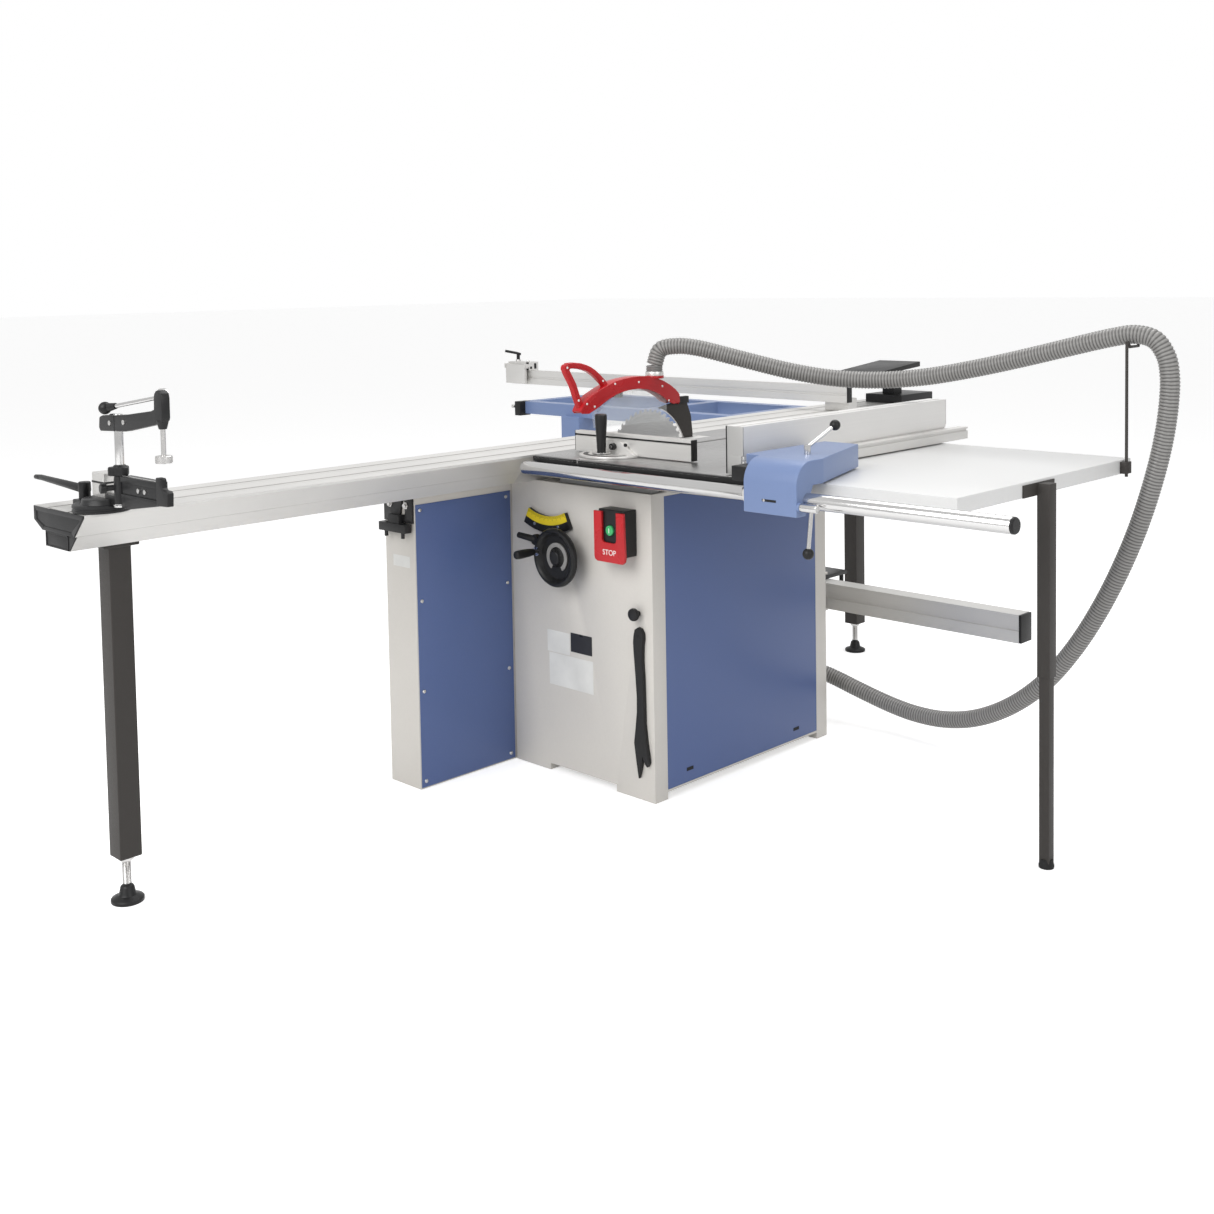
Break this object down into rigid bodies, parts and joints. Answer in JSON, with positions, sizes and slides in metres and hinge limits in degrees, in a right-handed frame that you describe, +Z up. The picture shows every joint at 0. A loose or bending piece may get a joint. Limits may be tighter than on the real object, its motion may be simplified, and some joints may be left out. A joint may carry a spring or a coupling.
{
  "type": "panel saw",
  "caption": "Panel saw with a long sliding table, outrigger with crosscut fence, rip fence on a round rail, extension table, tilting blade under a hood guard and a dust hose.",
  "frame": {"origin": "on the floor, under the middle of the machine's overall width and length, without the hose", "axes": "+Z up, +Y the cutting direction away from the operator, +X the operator's right"},
  "size_m": [3.06, 3.2, 1.1908],
  "materials": {
    "pale_paint": "satin",
    "blue_paint": "satin",
    "light_blue_paint": "satin",
    "anodised_aluminium": "satin",
    "ground_cast_iron": "ground",
    "chrome_plate": "polished",
    "bright_steel": "brushed",
    "black_plastic": "matte",
    "dark_paint": "matte",
    "red_plastic": "gloss",
    "green_plastic": "gloss",
    "clear_plastic": "clear",
    "grey_hose": "matte"
  },
  "bodies": {
    "base": {"cabinet": "pale_paint", "right_side_panel": "blue_paint", "wing_box": "pale_paint", "wing_side_panel": "blue_paint", "wing_bracket": "dark_paint", "main_table": "ground_cast_iron", "table_insert": "anodised_aluminium", "scale_bar": "black_plastic", "extension_table": "pale_paint", "fence_rail": "chrome_plate", "guide_beam": "anodised_aluminium", "front_leg": "dark_paint", "rear_leg": "dark_paint", "table_leg_outer": "dark_paint", "switch_box": "black_plastic", "tilt_scale": "dark_paint", "push_stick": "black_plastic", "dust_chute": "dark_paint", "dust_hose": "grey_hose", "hose_hook": "dark_paint"},
    "table": {"sliding_table": "anodised_aluminium", "outrigger_frame": "light_blue_paint"},
    "swing_arm": {"swing_arm": "anodised_aluminium"},
    "arm_sleeve": {"arm_sleeve": "dark_paint"},
    "roller": {"outrigger_roller": "anodised_aluminium"},
    "crosscut": {"crosscut_fence": "anodised_aluminium"},
    "crosscut_stop": {"crosscut_stop": "anodised_aluminium"},
    "stop_arm": {"stop_arm": "anodised_aluminium"},
    "clamp": {"clamp_base": "black_plastic"},
    "clamp_arm": {"clamp_arm": "black_plastic"},
    "clamp_spindle": {"clamp_spindle": "chrome_plate"},
    "clamp_cam": {"clamp_cam": "chrome_plate"},
    "shoe": {"edging_shoe": "black_plastic"},
    "tilt": {"tilt_cradle": "ground_cast_iron", "splitter": "dark_paint", "guard_shell": "red_plastic", "guard_window": "clear_plastic"},
    "rise": {"rise_slide": "ground_cast_iron", "motor": "dark_paint", "drive_belt": "black_plastic"},
    "blade": {"arbor": "bright_steel", "blade": "bright_steel"},
    "motor_rotor": {"motor_pulley": "ground_cast_iron"},
    "handwheel": {"handwheel": "black_plastic"},
    "crank": {"crank_handle": "black_plastic"},
    "tilt_lock": {"tilt_lock": "black_plastic"},
    "fence": {"fence_carriage": "light_blue_paint", "fence_bar": "anodised_aluminium"},
    "fence_profile": {"fence_profile": "anodised_aluminium"},
    "fence_lock": {"fence_lock_lever": "chrome_plate"},
    "fence_clamp": {"fence_clamp_lever": "chrome_plate"},
    "mitre": {"mitre_bar": "bright_steel"},
    "mitre_head": {"mitre_head": "anodised_aluminium", "mitre_fence": "anodised_aluminium"},
    "stop_flap": {"stop_flap": "red_plastic"},
    "start_button": {"start_button": "green_plastic"},
    "emergency_stop": {"emergency_stop": "red_plastic"},
    "leg_inner": {"table_leg_inner": "dark_paint"},
    "front_foot": {"front_foot": "chrome_plate"},
    "rear_foot": {"rear_foot": "chrome_plate"}
  },
  "joints": [
    {"name": "table_slide", "type": "slide", "parent": "base", "child": "table", "axis": [0, 1, 0], "range_m": [-1, 1]},
    {"name": "arm_swing", "type": "hinge", "parent": "table", "child": "swing_arm", "pos_m": [-0.835, 0.734, 0.29], "axis": [0, 0, 1], "range_deg": [-44.31, 44.31]},
    {"name": "sleeve_swing", "type": "hinge", "parent": "base", "child": "arm_sleeve", "pos_m": [0.2, 0.734, 0.29], "axis": [0, 0, 1], "range_deg": [-44.31, 44.31]},
    {"name": "roller_spin", "type": "hinge", "parent": "table", "child": "roller", "pos_m": [-1.148, 0.7265, 0.847], "axis": [0, 1, 0], "continuous": true},
    {"name": "crosscut_swivel", "type": "hinge", "parent": "table", "child": "crosscut", "pos_m": [0.098, 1.073, 0.898], "axis": [0, 0, 1], "range_deg": [0, 45]},
    {"name": "stop_slide", "type": "slide", "parent": "crosscut", "child": "crosscut_stop", "axis": [1, 0, 0], "range_m": [0, 1.3]},
    {"name": "stop_flip", "type": "hinge", "parent": "crosscut_stop", "child": "stop_arm", "pos_m": [-1.468, 1.001, 0.972], "axis": [1, 0, 0], "range_deg": [-120, 0]},
    {"name": "clamp_swivel", "type": "hinge", "parent": "table", "child": "clamp", "pos_m": [0.094, -1.541, 0.8683], "axis": [0, 0, 1], "range_deg": [-100, 100]},
    {"name": "clamp_height", "type": "slide", "parent": "clamp", "child": "clamp_arm", "axis": [0, 0, 1], "range_m": [-0.034, 0.01]},
    {"name": "clamp_cam_turn", "type": "hinge", "parent": "clamp_arm", "child": "clamp_cam", "pos_m": [0.322, -1.541, 1.106], "axis": [0, 1, 0], "range_deg": [0, 90]},
    {"name": "clamp_spindle_slide", "type": "slide", "parent": "clamp_arm", "child": "clamp_spindle", "axis": [0, 0, 1], "range_m": [0, 0.008]},
    {"name": "shoe_slide", "type": "slide", "parent": "table", "child": "shoe", "axis": [0, 1, 0], "range_m": [-0.25, 0.02]},
    {"name": "blade_tilt", "type": "hinge", "parent": "base", "child": "tilt", "pos_m": [0.185, -0.296, 0.868], "axis": [0, 1, 0], "range_deg": [0, 45]},
    {"name": "blade_rise", "type": "slide", "parent": "tilt", "child": "rise", "axis": [0, 0, 1], "range_m": [-0.094, 0]},
    {"name": "blade_spin", "type": "hinge", "parent": "rise", "child": "blade", "pos_m": [0.185, -0.001, 0.8035], "axis": [1, 0, 0], "continuous": true},
    {"name": "motor_spin", "type": "hinge", "parent": "rise", "child": "motor_rotor", "pos_m": [0.389, 0.129, 0.7035], "axis": [1, 0, 0], "continuous": true},
    {"name": "handwheel_turn", "type": "hinge", "parent": "base", "child": "handwheel", "pos_m": [0.173, -0.346, 0.597], "axis": [0, 1, 0], "range_deg": [-730, 0]},
    {"name": "crank_spin", "type": "hinge", "parent": "handwheel", "child": "crank", "pos_m": [0.107, -0.357, 0.607], "axis": [0, 1, 0], "continuous": true},
    {"name": "tilt_lock_turn", "type": "hinge", "parent": "base", "child": "tilt_lock", "pos_m": [0.075, -0.318, 0.63], "axis": [0, 1, 0], "range_deg": [-90, 30]},
    {"name": "fence_slide", "type": "slide", "parent": "base", "child": "fence", "axis": [1, 0, 0], "range_m": [-0.18, 0.45]},
    {"name": "fence_profile_slide", "type": "slide", "parent": "fence", "child": "fence_profile", "axis": [0, 1, 0], "range_m": [-0.1, 0.25]},
    {"name": "fence_lock_turn", "type": "hinge", "parent": "fence", "child": "fence_lock", "pos_m": [1.045, -0.446, 0.83], "axis": [1, 0, 0], "range_deg": [-70, 0]},
    {"name": "fence_clamp_turn", "type": "hinge", "parent": "fence", "child": "fence_clamp", "pos_m": [0.97, -0.322, 0.926], "axis": [0, 0, 1], "range_deg": [-60, 60]},
    {"name": "mitre_slide", "type": "slide", "parent": "base", "child": "mitre", "axis": [0, 1, 0], "range_m": [-0.15, 0]},
    {"name": "mitre_swivel", "type": "hinge", "parent": "mitre", "child": "mitre_head", "pos_m": [0.3, -0.296, 0.868], "axis": [0, 0, 1], "range_deg": [-30, 45]},
    {"name": "stop_flap_lift", "type": "hinge", "parent": "base", "child": "stop_flap", "pos_m": [0.372, -0.3416, 0.738], "axis": [1, 0, 0], "range_deg": [-80, 0]},
    {"name": "start_press", "type": "slide", "parent": "base", "child": "start_button", "axis": [0, 1, 0], "range_m": [0, 0.003], "stiffness_N_per_m": 800},
    {"name": "emergency_press", "type": "slide", "parent": "base", "child": "emergency_stop", "axis": [1, 0, 0], "range_m": [0, 0.004]},
    {"name": "leg_extend", "type": "slide", "parent": "base", "child": "leg_inner", "axis": [0, 0, 1], "range_m": [-0.05, 0]},
    {"name": "front_foot_level", "type": "slide", "parent": "base", "child": "front_foot", "axis": [0, 0, 1], "range_m": [-0.03, 0]},
    {"name": "rear_foot_level", "type": "slide", "parent": "base", "child": "rear_foot", "axis": [0, 0, 1], "range_m": [-0.03, 0]}
  ],
  "couplings": [
    {"joint": "arm_swing", "follows": "table_slide", "rad_per_m": -0.7682},
    {"joint": "sleeve_swing", "follows": "table_slide", "rad_per_m": -0.7682},
    {"joint": "clamp_spindle_slide", "follows": "clamp_cam_turn", "m_per_rad": 0.005},
    {"joint": "motor_spin", "follows": "blade_spin", "ratio": 0.83333},
    {"joint": "handwheel_turn", "follows": "blade_rise", "rad_per_m": 133.68}
  ]
}
